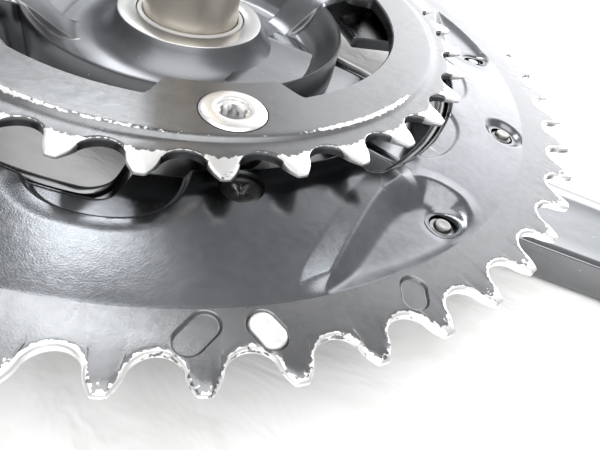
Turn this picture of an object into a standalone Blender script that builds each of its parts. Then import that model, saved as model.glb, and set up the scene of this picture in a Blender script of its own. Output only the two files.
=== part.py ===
"""Road double crankset lying on the outer face of its drive-side arm.

The spindle is the Z axis and points up, towards the bicycle.  The drive-side arm runs along +X and
the left arm, half a turn away, along -X.  Z = 0 is the outer face of the drive arm.
"""

import math

import bmesh
import bpy
from mathutils import Matrix

# Driving dimensions, in metres.
CRANK_LENGTH = 0.170          # spindle axis to pedal axis
Q_FACTOR = 0.147              # outer face to outer face at the pedals
BEARING_SPAN = 0.090          # between the two shoulders that meet the bearings
CHAIN_PITCH = 0.0127
BIG_TEETH = 50
SMALL_TEETH = 34
TOOTH_THICKNESS = 0.0021
BOLT_CIRCLE = 0.055           # radius of the four chainring bolts
BOLT_ANGLES = (-144, -55, 55, 144)
GAP = 0.0003                  # between pieces that touch
WELD = 0.000003               # points closer than this are one point

SPINDLE_RADIUS = 0.012
SPINDLE_BORE = 0.0092
SHOULDER_RADIUS = 0.0183
SEAL_RADIUS = 0.0135
SEAL_SEAT = 0.0012            # depth of the groove that holds a seal in its shoulder
PEDAL_HOLE = 0.00715
ARM_THICKNESS = 0.0113

# Heights of the drive side, counted up from the outer face.
DRIVE_SHOULDER = Q_FACTOR / 2 - BEARING_SPAN / 2
LEFT_SHOULDER = Q_FACTOR / 2 + BEARING_SPAN / 2
BIG_FACE = DRIVE_SHOULDER - 0.00185
BIG_BACK = BIG_FACE - 0.0036
SPIDER_BACK = BIG_FACE + GAP
SPIDER_FACE = SPIDER_BACK + 0.00535
SMALL_BACK = SPIDER_FACE + GAP
SMALL_FACE = SMALL_BACK + 0.0034
SMALL_BAND = SMALL_FACE - 0.00075
BOLT_TOP = SMALL_FACE + 0.0006
NUT_BOTTOM = BIG_BACK - 0.0018

BIG_PITCH_RADIUS = CHAIN_PITCH / 2 / math.sin(math.pi / BIG_TEETH)
SMALL_PITCH_RADIUS = CHAIN_PITCH / 2 / math.sin(math.pi / SMALL_TEETH)
COVER_RADIUS = 0.0905
RIM_RADIUS = 0.0675           # inner edge of the big ring between its tabs
RIVET_CIRCLE = 0.0853
RIVET_ANGLES = (-28, 0, 28, 152, 180, 208)
SCREW_CIRCLE = 0.0674
RAMP_ANGLES = (-55.8, 124.2)
RAMP_CIRCLE = 0.0947

# Pinch clamp and end fittings of the left arm.
SLOT_WIDTH = 0.0026
SLOT_REACH = 0.036            # how far the slot runs from the axis towards the pedal
PINCH_X = 0.0195              # pinch bolts, from the axis towards the pedal
PINCH_Z = (LEFT_SHOULDER + 0.0055, LEFT_SHOULDER + 0.0160)
PINCH_SEAT = 0.0130           # distance of the bolt-head seats from the middle plane
CAP_RECESS = 0.0042
STOPPER_PIVOT = (-0.0315, 0.1433)

SPINDLE_LOW = 0.0062
SPINDLE_HIGH = Q_FACTOR - CAP_RECESS - 0.0012


def clear_scene():
    for item in list(bpy.data.objects):
        bpy.data.objects.remove(item, do_unlink=True)


def new_collection(name, hidden=False):
    group = bpy.data.collections.new(name)
    bpy.context.scene.collection.children.link(group)
    group.hide_render = hidden
    return group


def new_material(name, colour, metallic, roughness):
    mat = bpy.data.materials.new(name)
    mat.use_nodes = True
    shader = mat.node_tree.nodes["Principled BSDF"]
    shader.inputs["Base Color"].default_value = (*colour, 1)
    shader.inputs["Metallic"].default_value = metallic
    shader.inputs["Roughness"].default_value = roughness
    mat.diffuse_color = (*colour, 1)
    return mat


def polar(radius, degrees):
    angle = math.radians(degrees)
    return radius * math.cos(angle), radius * math.sin(angle)


def arc(radius, start, stop, steps, centre=(0, 0)):
    """Points on a circular arc, ends included, angles in degrees."""
    points = []
    for i in range(steps + 1):
        x, y = polar(radius, start + (stop - start) * i / steps)
        points.append((centre[0] + x, centre[1] + y))
    return points


def circle(radius, steps=40, centre=(0, 0)):
    return arc(radius, 0, 360 * (steps - 1) / steps, steps - 1, centre)


def turn(points, degrees):
    c, s = math.cos(math.radians(degrees)), math.sin(math.radians(degrees))
    return [(c * x - s * y, s * x + c * y) for x, y in points]


def clean(mesh):
    """Weld coincident points and point every face outwards."""
    work = bmesh.new()
    work.from_mesh(mesh)
    bmesh.ops.remove_doubles(work, verts=work.verts, dist=WELD)
    bmesh.ops.dissolve_degenerate(work, edges=work.edges, dist=WELD)
    bmesh.ops.recalc_face_normals(work, faces=work.faces)
    work.to_mesh(mesh)
    work.free()


def evaluated_mesh(item):
    graph = bpy.context.evaluated_depsgraph_get()
    mesh = bpy.data.meshes.new_from_object(item.evaluated_get(graph))
    mesh.materials.clear()
    clean(mesh)
    return mesh


def mesh_object(name, data, modifiers=()):
    """Turn a curve, or a mesh with modifiers, into one clean closed mesh object."""
    temp = bpy.data.objects.new(name, data)
    bpy.context.scene.collection.objects.link(temp)
    for kind, settings in modifiers:
        mod = temp.modifiers.new(kind.title(), kind)
        for key, value in settings.items():
            setattr(mod, key, value)
    mesh = evaluated_mesh(temp)
    bpy.data.objects.remove(temp, do_unlink=True)
    return bpy.data.objects.new(name, mesh)


def slab(name, loops, low, high, bevel=0.0):
    """Plate between two heights; the first loop is its outline and the others are holes."""
    curve = bpy.data.curves.new(name, "CURVE")
    curve.dimensions = "2D"
    curve.fill_mode = "BOTH"
    curve.extrude = (high - low) / 2 - bevel
    curve.bevel_depth = bevel
    curve.bevel_resolution = 1
    curve.offset = -bevel
    for loop in loops:
        spline = curve.splines.new("POLY")
        spline.points.add(len(loop) - 1)
        for point, (x, y) in zip(spline.points, loop):
            point.co = (x, y, 0, 1)
        spline.use_cyclic_u = True
    item = mesh_object(name, curve)
    item.data.transform(Matrix.Translation((0, 0, (low + high) / 2)))
    return item


def turned(name, profile, steps=36):
    """Solid of revolution about Z from a closed (radius, height) outline."""
    mesh = bpy.data.meshes.new(name)
    edges = [(i, (i + 1) % len(profile)) for i in range(len(profile))]
    edges = [(a, b) for a, b in edges if profile[a][0] + profile[b][0] > 0]
    mesh.from_pydata([(r, 0, z) for r, z in profile], edges, [])
    screw = {
        "axis": "Z",
        "steps": steps,
        "render_steps": steps,
        "use_merge_vertices": True,
        "merge_threshold": 1e-6,
    }
    return mesh_object(name, mesh, [("SCREW", screw)])


def tube(outer, inner, low, high):
    return [(inner, low), (outer, low), (outer, high), (inner, high)]


def rod(radius, low, high):
    return [(0, low), (radius, low), (radius, high), (0, high)]


def moved(item, x=0.0, y=0.0, z=0.0, spin=0.0, tilt_x=0.0, tilt_y=0.0):
    """Transform the mesh itself, so that the object's origin stays at the world origin."""
    matrix = (
        Matrix.Translation((x, y, z))
        @ Matrix.Rotation(math.radians(spin), 4, "Z")
        @ Matrix.Rotation(math.radians(tilt_y), 4, "Y")
        @ Matrix.Rotation(math.radians(tilt_x), 4, "X")
    )
    item.data.transform(matrix)
    return item


def merge_flats(mesh):
    """Join the coplanar faces that the booleans leave behind."""
    work = bmesh.new()
    work.from_mesh(mesh)
    flat = math.radians(0.1)
    bmesh.ops.dissolve_limit(work, angle_limit=flat, verts=work.verts, edges=work.edges)
    bmesh.ops.triangulate(work, faces=work.faces)
    work.to_mesh(mesh)
    work.free()


def place(item, mat, smooth=False):
    """Put a finished piece in the part's collection."""
    merge_flats(item.data)
    PART.objects.link(item)
    item.data.materials.append(mat)
    for face in item.data.polygons:
        face.use_smooth = smooth
    return item


def boolean(item, tool, operation):
    """Apply one exact boolean and keep its tool, hidden, in the cutters' collection."""
    CUTTERS.objects.link(tool)
    tool.hide_render = True
    tool.display_type = "WIRE"
    bpy.context.scene.collection.objects.link(item)
    mod = item.modifiers.new(operation.title(), "BOOLEAN")
    mod.operation = operation
    mod.solver = "EXACT"
    mod.object = tool
    item.data = evaluated_mesh(item)
    item.modifiers.clear()
    bpy.context.scene.collection.objects.unlink(item)


def cut(item, tool):
    boolean(item, tool, "DIFFERENCE")


def fuse(item, tool):
    boolean(item, tool, "UNION")


def tooth_outline(teeth, pitch_radius, root_depth, tip_height):
    """Chainring edge: round roller seats with a narrow flat tip between each pair."""
    step = 360 / teeth
    roller = 0.0040
    half_tip = math.degrees(0.0011 / (pitch_radius + tip_height))
    points = []
    for k in range(teeth):
        seat = pitch_radius - root_depth + roller
        for lean in (-60, 0, 60):
            points.append(turn([(seat - roller * math.cos(math.radians(lean)),
                                 roller * math.sin(math.radians(lean)))], k * step)[0])
        for side in (-half_tip, half_tip):
            points.append(polar(pitch_radius + tip_height, (k + 0.5) * step + side))
    return points


def tabbed_hole(radius, tab_radius, half_angle, corner=3.5):
    """Central opening of a ring with one tab reaching in at each chainring bolt."""
    points = []
    for i, bolt in enumerate(BOLT_ANGLES):
        following = BOLT_ANGLES[(i + 1) % 4] + (360 if i == 3 else 0)
        points += arc(tab_radius, bolt - half_angle + corner, bolt + half_angle - corner, 6)
        points += arc(radius, bolt + half_angle, following - half_angle, 8)
    return points


def drive_arm():
    """One forging: boss, four-armed spider and the arm out to the pedal eye."""
    tail = 0.0205
    half_root, half_mid, half_eye = 0.0215, 0.0150, 0.0160
    plan = arc(tail, 110, 250, 10)
    plan += [(0.034, -half_root), (0.055, -0.0180), (0.100, -half_mid - 0.0010)]
    plan += arc(half_eye, -78, 78, 10, (CRANK_LENGTH, 0))
    plan += [(0.100, half_mid + 0.0010), (0.055, 0.0180), (0.034, half_root)]
    body = slab("drive_arm", [plan], 0, DRIVE_SHOULDER, 0.0016)
    side = [(-0.030, -0.001), (0.200, -0.001), (0.200, 0.0128), (0.158, 0.0128)]
    side += [(0.146, ARM_THICKNESS), (0.098, ARM_THICKNESS), (0.084, 0.0128)]
    side += [(0.066, 0.0190), (0.048, 0.0226), (0.026, 0.0240), (-0.030, 0.0240)]
    profile = moved(slab("arm_profile", [side], -0.04, 0.04), tilt_x=90)
    boolean(body, profile, "INTERSECT")

    boss = [(0, 0.002), (0.0240, 0.002), (0.0262, 0.0180), (0.0235, 0.0226)]
    boss += [(0.0205, 0.0255), (SHOULDER_RADIUS, DRIVE_SHOULDER), (0, DRIVE_SHOULDER)]
    fuse(body, turned("arm_boss", boss))
    star = []
    for i, bolt in enumerate(BOLT_ANGLES):
        following = BOLT_ANGLES[(i + 1) % 4] + (360 if i == 3 else 0)
        star += turn(arc(0.0070, -90, 90, 8, (BOLT_CIRCLE, 0)), bolt)
        start, stop = bolt + 17, following - 17
        star += arc(0.0385, start, stop, max(3, int((stop - start) / 9)))
    spider = slab("arm_spider", [star], 0.0170, SPIDER_FACE, 0.0006)
    fuse(body, spider)
    # The web is a bowl around the boss that climbs to the tabs; it is open below them.
    bowl = [(0, DRIVE_SHOULDER), (SHOULDER_RADIUS, DRIVE_SHOULDER), (0.0205, 0.0255)]
    bowl += [(0.0235, 0.0226), (0.0270, 0.0219), (0.0320, 0.0235), (0.0365, 0.0275)]
    bowl += [(0.0395, 0.0310), (0.0410, 0.0400), (0, 0.0400)]
    cut(body, turned("spider_bowl", bowl))
    under = [(0.0445, 0.0100), (0.0445, SPIDER_BACK), (0.0700, SPIDER_BACK), (0.0700, 0.0100)]
    cut(body, under_tabs("spider_underside", under))
    cut(body, turned("spindle_seat", rod(SPINDLE_RADIUS + GAP, SPINDLE_LOW - GAP, 0.060)))
    seal_seat = rod(SEAL_RADIUS + GAP, DRIVE_SHOULDER - SEAL_SEAT, 0.060)
    cut(body, turned("drive_seal_seat", seal_seat))
    cut(body, turned("cap_seat", rod(0.0145, -0.001, SPINDLE_LOW - 0.0012)))
    cut(body, turned("cap_throat", rod(0.0100, -0.001, SPINDLE_LOW)))
    for i, bolt in enumerate(BOLT_ANGLES):
        x, y = polar(BOLT_CIRCLE, bolt)
        cut(body, moved(turned(f"spider_hole_{i}", rod(0.0053, 0.015, 0.045), 16), x, y))
    cut(body, moved(turned("pedal_hole_drive", rod(PEDAL_HOLE, -0.01, 0.03), 40), CRANK_LENGTH))
    return body


def under_tabs(name, profile):
    """Clears the underside of the spider tabs, except where the arm itself passes."""
    ring = turned(name, profile)
    lane = [(0.030, -0.0235), (0.080, -0.0235), (0.080, 0.0235), (0.030, 0.0235)]
    cut(ring, slab(name + "_lane", [lane], 0, 0.050))
    return ring


def big_ring():
    outline = tooth_outline(BIG_TEETH, BIG_PITCH_RADIUS, 0.0040, 0.0020)
    opening = tabbed_hole(RIM_RADIUS, 0.0465, 19.5)
    ring = slab("big_ring", [outline, opening], BIG_FACE - TOOTH_THICKNESS, BIG_FACE)
    web = slab("ring_web", [circle(0.0935, 60), opening], BIG_BACK, BIG_FACE - 0.0004)
    fuse(ring, web)
    # Hollow between the outer web and the pressed cover, closed by the tabs.
    channel = slab("ring_channel", [circle(COVER_RADIUS - 0.0015, 60), channel_inner()],
                   BIG_BACK + 0.0011, 0.040)
    cut(ring, channel)
    for i, bolt in enumerate(BOLT_ANGLES):
        x, y = polar(BOLT_CIRCLE, bolt)
        cut(ring, moved(turned(f"ring_bolt_hole_{i}", rod(0.0053, 0.01, 0.05), 16), x, y))
        x, y = polar(SCREW_CIRCLE, bolt)
        cut(ring, moved(turned(f"ring_screw_hole_{i}", rod(0.0019, 0.01, 0.05), 10), x, y))
    for i, angle in enumerate(RAMP_ANGLES):
        cut(ring, ramp_plate(f"ramp_seat_{i}", angle, GAP, -0.0010 - GAP, 0.001))
    for i, angle in enumerate(RAMP_ANGLES):
        for j, lead in enumerate((-6.3, 16.0)):
            pocket = slab(f"shift_pocket_{i}{j}", [pill(0.0012, 0.0022)], -0.0009, 0.002)
            x, y = polar(RAMP_CIRCLE - 0.0013, angle + lead)
            cut(ring, moved(pocket, x, y, BIG_FACE, spin=angle + lead + 20))
    x, y = polar(0.0957, 0)
    cut(ring, moved(turned("catch_pin_hole", rod(0.0017 + GAP, 0.01, 0.05), 20), x, y))
    return ring


def channel_inner():
    """Inner wall of the hollow: the rim between tabs, and the solid pads at the tabs."""
    points = []
    for i, bolt in enumerate(BOLT_ANGLES):
        following = BOLT_ANGLES[(i + 1) % 4] + (360 if i == 3 else 0)
        points += arc(0.0725, bolt - 15.5, bolt + 15.5, 6)
        points += arc(0.0691, bolt + 18.5, following - 18.5, 10)
    return points


def pill(half_length, radius, steps=5):
    """Rounded slot outline along X."""
    left = arc(radius, 90, 270, steps, (-half_length, 0))
    return left + arc(radius, -90, 90, steps, (half_length, 0))


def ramp_plate(name, angle, grow=0.0, low=-0.0010, high=0.0003):
    x, y = polar(RAMP_CIRCLE, angle)
    plate = slab(name, [pill(0.0012, 0.0022 + grow)], low, high)
    return moved(plate, x, y, BIG_FACE, spin=angle + 29)


def big_ring_cover():
    """Pressed panel that closes the hollow of the big ring, dished towards the bicycle."""
    low = BIG_FACE + GAP
    section = [(0.0610, low), (COVER_RADIUS, low), (COVER_RADIUS, low + 0.0005)]
    section += [(0.0868, low + 0.0016), (0.0820, low + 0.0023), (0.0760, low + 0.0022)]
    section += [(0.0722, low + 0.0012), (0.0610, low + 0.0010)]
    cover = turned("big_ring_cover", section, 48)
    inside = [(0.0728, low - 0.001), (0.0885, low - 0.001), (0.0868, low + 0.0006)]
    inside += [(0.0820, low + 0.0013), (0.0762, low + 0.0012), (0.0732, low + 0.0003)]
    cut(cover, turned("cover_hollow", inside, 48))
    opening = slab("cover_opening", [tabbed_hole(0.0702, 0.0624, 18.0)], 0.02, 0.04)
    cut(cover, opening)
    for i, angle in enumerate(RIVET_ANGLES):
        x, y = polar(RIVET_CIRCLE, angle)
        cut(cover, moved(turned(f"dimple_{i}", rod(0.0029, 0.02, 0.04), 12), x, y))
    for i, bolt in enumerate(BOLT_ANGLES):
        x, y = polar(SCREW_CIRCLE, bolt)
        cone = [(0, 0.02), (0.0022, 0.02), (0.0022, low + 0.0001), (0.0041, low + 0.0008)]
        cone += [(0.0041, 0.04), (0, 0.04)]
        cut(cover, moved(turned(f"screw_seat_{i}", cone, 12), x, y))
    return cover


def small_ring():
    outline = tooth_outline(SMALL_TEETH, SMALL_PITCH_RADIUS, 0.0031, 0.0028)
    opening = tabbed_hole(0.0520, 0.0454, 16.0)
    ring = slab("small_ring", [outline, opening], SMALL_BAND - TOOTH_THICKNESS, SMALL_BAND)
    face = slab("small_ring_face", [circle(0.0632, 60), opening], SMALL_BACK, SMALL_FACE, 0.0)
    fuse(ring, face)
    for i, bolt in enumerate(BOLT_ANGLES):
        x, y = polar(BOLT_CIRCLE, bolt)
        seat = [(0, 0.03), (0.0053, 0.03), (0.0053, SMALL_FACE - 0.0016)]
        seat += [(0.0066, SMALL_FACE - 0.0013), (0.0066, 0.05), (0, 0.05)]
        cut(ring, moved(turned(f"small_ring_hole_{i}", seat, 16), x, y))
    return ring


def ring_bolt(name, bolt):
    top = BOLT_TOP
    section = [(0, NUT_BOTTOM + 0.0024), (0.0040, NUT_BOTTOM + 0.0024)]
    section += [(0.0040, SMALL_FACE - 0.0016), (0.0063, SMALL_FACE - 0.0010)]
    section += [(0.0063, top - 0.0003), (0.0060, top), (0, top)]
    item = turned(name, section, 18)
    socket = []
    for k in range(6):
        socket += [polar(0.0029, 60 * k), polar(0.0021, 60 * k + 30)]
    cut(item, slab(name + "_socket", [socket], top - 0.0024, top + 0.001))
    return moved(item, *polar(BOLT_CIRCLE, bolt))


def ring_nut(name, bolt):
    """Flanged sleeve under the big ring that the bolt screws into."""
    flange_top = BIG_BACK - GAP
    section = [(0.0028, NUT_BOTTOM), (0.0064, NUT_BOTTOM), (0.0066, NUT_BOTTOM + 0.0003)]
    section += [(0.0066, flange_top), (0.0050, flange_top), (0.0050, SPIDER_FACE - 0.0010)]
    section += [(0.0043, SPIDER_FACE - 0.0010), (0.0043, NUT_BOTTOM + 0.0020)]
    section += [(0.0028, NUT_BOTTOM + 0.0020)]
    return moved(turned(name, section, 16), *polar(BOLT_CIRCLE, bolt))


def cover_screw(name, bolt):
    top = BIG_FACE + GAP + 0.0010
    section = [(0, BIG_BACK + 0.0008), (0.0015, BIG_BACK + 0.0008), (0.0015, BIG_FACE + 0.0003)]
    section += [(0.0038, top - 0.0001), (0.0036, top), (0, top)]
    item = turned(name, section, 12)
    for spin in (0, 90):
        bar = [(-0.0017, -0.0004), (0.0017, -0.0004), (0.0017, 0.0004), (-0.0017, 0.0004)]
        cut(item, slab(f"{name}_recess_{spin}", [turn(bar, spin)], top - 0.0010, top + 0.001))
    return moved(item, *polar(SCREW_CIRCLE, bolt))


def rivet(name, angle):
    """Round-headed rivet standing in a dimple of the cover."""
    base = BIG_BACK + 0.0011 + GAP
    section = [(0, base), (0.0024, base), (0.0024, BIG_FACE), (0.0021, BIG_FACE + 0.0009)]
    section += [(0.0012, BIG_FACE + 0.0013), (0, BIG_FACE + 0.0014)]
    return moved(turned(name, section, 12), *polar(RIVET_CIRCLE, angle))


def catch_pin():
    """Stops a thrown chain from wedging between the ring and the arm."""
    section = [(0, 0.0152), (0.0025, 0.0152), (0.0030, 0.0158), (0.0030, BIG_BACK - 0.0010)]
    section += [(0.0017, BIG_BACK - 0.0010), (0.0017, BIG_FACE - 0.0001), (0, BIG_FACE - 0.0001)]
    return moved(turned("chain_catch_pin", section, 16), 0.0957)


def spindle():
    section = tube(SPINDLE_RADIUS, SPINDLE_BORE, SPINDLE_LOW, SPINDLE_HIGH)
    return turned("spindle", section, 40)


def end_cap():
    """Pressed-in cap that closes the outer end of the spindle seat."""
    section = [(0, 0.0006), (0.0130, 0.0006), (0.0142, 0.0014), (0.0142, 0.0047)]
    section += [(0.0097, 0.0047), (0.0097, SPINDLE_LOW - 0.0006), (0, SPINDLE_LOW - 0.0006)]
    return turned("drive_end_cap", section, 30)


def shoulder_seal(name, shoulder, direction):
    """Thin ring around the spindle, sunk in a groove of a bearing shoulder."""
    near = shoulder - 0.0001 * direction
    far = shoulder - (SEAL_SEAT - GAP) * direction
    section = tube(SEAL_RADIUS, SPINDLE_RADIUS + GAP, min(near, far), max(near, far))
    return turned(name, section, 40)


def left_arm():
    """Clamp-on arm: round hub split by a slot, pinched by two cross bolts."""
    half_mid, half_eye = 0.0150, 0.0160
    low = Q_FACTOR - ARM_THICKNESS
    plan = arc(0.0190, -70, 70, 10)
    plan += [(-0.030, 0.0190), (-0.055, 0.0172), (-0.100, half_mid + 0.0010)]
    plan += arc(half_eye, 102, 258, 10, (-CRANK_LENGTH, 0))
    plan += [(-0.100, -half_mid - 0.0010), (-0.055, -0.0172), (-0.030, -0.0190)]
    body = slab("left_arm", [plan], LEFT_SHOULDER, Q_FACTOR, 0.0016)
    side = [(0.030, Q_FACTOR + 0.001), (-0.200, Q_FACTOR + 0.001), (-0.200, Q_FACTOR - 0.0128)]
    side += [(-0.158, Q_FACTOR - 0.0128), (-0.146, low), (-0.078, low)]
    side += [(-0.052, LEFT_SHOULDER + 0.0060), (-0.034, LEFT_SHOULDER - 0.001), (0.030, LEFT_SHOULDER - 0.001)]
    profile = moved(slab("left_profile", [side], -0.04, 0.04), tilt_x=90)
    boolean(body, profile, "INTERSECT")
    bore = rod(SPINDLE_RADIUS + GAP, 0.10, 0.16)
    cut(body, turned("left_bore", bore))
    seal_seat = rod(SEAL_RADIUS + GAP, 0.10, LEFT_SHOULDER + SEAL_SEAT)
    cut(body, turned("left_seal_seat", seal_seat))
    cut(body, turned("left_cap_seat", rod(0.0155, Q_FACTOR - CAP_RECESS, 0.16)))
    half = SLOT_WIDTH / 2
    slot = [(-SLOT_REACH, -half), (-0.005, -half), (-0.005, half), (-SLOT_REACH, half)]
    cut(body, slab("clamp_slot", [slot], 0.10, 0.16))
    x, z = STOPPER_PIVOT
    pivot_bore = turned("stopper_pivot_bore", rod(0.0010 + GAP, -0.0053, 0.0053), 20)
    cut(body, moved(pivot_bore, x, 0, z, tilt_x=90))
    for i, z in enumerate(PINCH_Z):
        bore = turned(f"pinch_bore_{i}", rod(0.0028, -0.03, 0.03), 24)
        cut(body, moved(bore, -PINCH_X, 0, z, tilt_x=90))
        seat = turned(f"pinch_seat_{i}", rod(0.0048, PINCH_SEAT, 0.03), 32)
        cut(body, moved(seat, -PINCH_X, 0, z, tilt_x=90))
    cut(body, moved(turned("pedal_hole_left", rod(PEDAL_HOLE, 0.12, 0.16), 40), -CRANK_LENGTH))
    return body


def pinch_bolt(name, z):
    """Cross bolt of the clamp; its head lies in the seat on the -Y side."""
    section = [(0, -0.0165), (0.0025, -0.0165), (0.0025, PINCH_SEAT + GAP)]
    section += [(0.0044, PINCH_SEAT + GAP), (0.0044, 0.0176), (0.0040, 0.0180), (0, 0.0180)]
    item = moved(turned(name, section, 16), -PINCH_X, 0, z, tilt_x=90)
    hexagon = [polar(0.0029, 60 * k + 30) for k in range(6)]
    socket = moved(slab(name + "_socket", [hexagon], 0.0148, 0.02), -PINCH_X, 0, z, tilt_x=90)
    cut(item, socket)
    return item


def stopper_plate():
    """Safety plate that lies in the clamp slot beside the cap and lifts about its pivot."""
    x, z = STOPPER_PIVOT
    reach = 0.0148
    plan = arc(0.0026, 90, 270, 8, (x, z))
    plan += [(x + reach - 0.0020, z - 0.0026), (x + reach, z - 0.0006), (x + reach, z + 0.0026)]
    plate = slab("stopper_plate", [plan, circle(0.00108, 20, (x, z))], -0.0010, 0.0010)
    return moved(plate, tilt_x=90)


def stopper_pivot():
    x, z = STOPPER_PIVOT
    return moved(turned("stopper_pivot", rod(0.0010, -0.0050, 0.0050), 20), x, 0, z, tilt_x=90)


def preload_cap():
    """Screws into the spindle and takes up the bearing play."""
    seat = Q_FACTOR - CAP_RECESS
    section = [(0, 0.1335), (0.0088, 0.1335), (0.0088, 0.1366), (0.0078, 0.1366)]
    section += [(0.0078, 0.1384), (0.0088, 0.1384), (0.0088, seat + GAP), (0.0152, seat + GAP)]
    section += [(0.0152, Q_FACTOR - 0.0010), (0.0148, Q_FACTOR - 0.0006), (0, Q_FACTOR - 0.0006)]
    cap = turned("preload_cap", section, 32)
    spline = []
    for k in range(8):
        spline += [polar(0.0058, 45 * k - 8), polar(0.0058, 45 * k + 8)]
        spline += [polar(0.0047, 45 * k + 15), polar(0.0047, 45 * k + 30)]
    cut(cap, slab("cap_spline", [spline], Q_FACTOR - 0.0056, Q_FACTOR + 0.001))
    return cap


def cap_seal():
    return turned("cap_o_ring", tube(0.0089, 0.0081, 0.1369, 0.1381), 24)


clear_scene()
PART = new_collection("bicycle_crankset")
CUTTERS = new_collection("cutters", hidden=True)

polished = new_material("polished_arm", (0.62, 0.63, 0.64), 1.0, 0.16)
anodised = new_material("black_anodised", (0.035, 0.036, 0.040), 0.75, 0.32)
cover_black = new_material("cover_black", (0.045, 0.047, 0.052), 0.70, 0.30)
steel = new_material("spindle_steel", (0.52, 0.47, 0.39), 1.0, 0.34)
bolt_silver = new_material("bolt_silver", (0.78, 0.79, 0.80), 1.0, 0.22)
dark_steel = new_material("dark_steel", (0.09, 0.09, 0.10), 0.9, 0.35)
seal_rubber = new_material("seal_rubber", (0.02, 0.02, 0.02), 0.0, 0.60)
black_plastic = new_material("black_plastic", (0.03, 0.03, 0.03), 0.0, 0.45)

place(drive_arm(), polished)
place(spindle(), steel, smooth=True)
place(end_cap(), black_plastic, smooth=True)
place(shoulder_seal("drive_seal", DRIVE_SHOULDER, 1), seal_rubber, smooth=True)
place(big_ring(), anodised)
place(big_ring_cover(), cover_black)
place(small_ring(), anodised)
for number, bolt_angle in enumerate(BOLT_ANGLES, 1):
    place(ring_bolt(f"ring_bolt_{number}", bolt_angle), bolt_silver)
    place(ring_nut(f"ring_nut_{number}", bolt_angle), dark_steel, smooth=True)
    place(cover_screw(f"cover_screw_{number}", bolt_angle), dark_steel)
for number, rivet_angle in enumerate(RIVET_ANGLES, 1):
    place(rivet(f"cover_rivet_{number}", rivet_angle), dark_steel, smooth=True)
for number, ramp_angle in enumerate(RAMP_ANGLES, 1):
    place(ramp_plate(f"shift_ramp_{number}", ramp_angle), bolt_silver)
place(catch_pin(), bolt_silver, smooth=True)

place(left_arm(), polished)
place(shoulder_seal("left_seal", LEFT_SHOULDER, -1), seal_rubber, smooth=True)
for number, pinch_height in enumerate(PINCH_Z, 1):
    place(pinch_bolt(f"pinch_bolt_{number}", pinch_height), bolt_silver)
place(stopper_plate(), black_plastic)
place(stopper_pivot(), bolt_silver, smooth=True)
place(preload_cap(), black_plastic)
place(cap_seal(), seal_rubber, smooth=True)
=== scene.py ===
"""Looks of the bicycle crankset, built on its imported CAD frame.

The spindle is the Z axis.  Angles are in degrees round it, counted from the drive arm at +X.
Small sizes are in millimetres, times MM.
"""

import math

import bpy
import numpy as np
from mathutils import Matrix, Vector


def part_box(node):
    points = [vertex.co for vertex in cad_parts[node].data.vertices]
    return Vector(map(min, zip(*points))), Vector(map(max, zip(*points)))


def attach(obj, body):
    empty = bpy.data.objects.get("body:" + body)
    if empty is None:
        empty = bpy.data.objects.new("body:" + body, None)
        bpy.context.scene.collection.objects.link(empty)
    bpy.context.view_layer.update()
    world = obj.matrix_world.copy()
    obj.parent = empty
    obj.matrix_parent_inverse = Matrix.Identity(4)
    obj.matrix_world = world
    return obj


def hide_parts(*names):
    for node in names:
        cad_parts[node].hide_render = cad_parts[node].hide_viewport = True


MM = 0.001
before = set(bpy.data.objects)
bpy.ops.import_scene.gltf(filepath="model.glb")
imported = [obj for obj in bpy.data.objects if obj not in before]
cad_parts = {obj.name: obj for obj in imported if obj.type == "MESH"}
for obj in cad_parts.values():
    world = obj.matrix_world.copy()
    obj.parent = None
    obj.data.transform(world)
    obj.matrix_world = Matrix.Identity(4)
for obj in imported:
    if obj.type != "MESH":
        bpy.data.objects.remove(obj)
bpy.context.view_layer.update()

# Heights and radii read from the frame.
BIG_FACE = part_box("big_ring")[1].z
BIG_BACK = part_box("big_ring")[0].z
BIG_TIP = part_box("big_ring")[1].y
SMALL_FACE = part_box("small_ring")[1].z
SMALL_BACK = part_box("small_ring")[0].z
SMALL_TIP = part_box("small_ring")[1].y
BOLT_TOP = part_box("ring_bolt_1")[1].z

# Fasteners: the angles they stand at and the radius (mm) of their circle.
BOLT_ANGLES = (-144, -55, 55, 144)      # ring bolts, and the cover screws outside them
BOLT_RADIUS = 55
BOLT_CIRCLE = BOLT_RADIUS * MM
SCREW_CIRCLE = 67.4
RIVETS = (-28, 0, 28, 152, 180, 208)
PLAIN_RIVETS = (0, 180)                 # in a bowl of the plain panel; the others end a pressed leaf
RIVET_CIRCLE = 85.3

# Rings.
BIG_TEETH = 50
SMALL_TEETH = 34
ROLLER = 4.0 * MM                       # radius of a tooth gap's floor
BIG_ROOT = 97.1 * MM
SMALL_ROOT = 65.7 * MM
CHAMFER = 0.1 * MM                      # cut off each side of a tooth's tip
COVER_EDGE = 90.5                       # mm, outer edge of the pressed cover
SMALL_TAB_HALF = 15.2                   # degrees from a tab's middle to its side
SMALL_TAB_SOFT = 1.9
WORN_AND_SHEEN_ARCS = ((-90, 24), (-28, 16), (90, 24), (152, 16))   # (angle, half width) where the edge line is bare: wear rubbed by the chain together with a painted highlight on the bevel

# Shift ramps of the big ring, and the pockets pressed in at each of them.
RAMPS = (-55.8, 124.2)
RAMP_CIRCLE = 94.7
RAMP_TURN = 29
RAMP_STRAIGHT = 1.2
# Each pocket: angle from its ramp, radius, direction of its length, half of its straight part.
SHIFT_POCKETS = ((-6.0, 94.4, 132, 1.6), (0, RAMP_CIRCLE, RAMP_TURN, RAMP_STRAIGHT), (15.7, 94.6, -16, 1.0))
# Wall of a pocket from its floor up: radius of its round end and height over the ring's face.
POCKET_WALL = ((1.95, -0.5), (2.1, -0.46), (2.4, -0.10), (2.6, 0.03), (2.7, 0.2), (2.7, 1.0))

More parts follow.
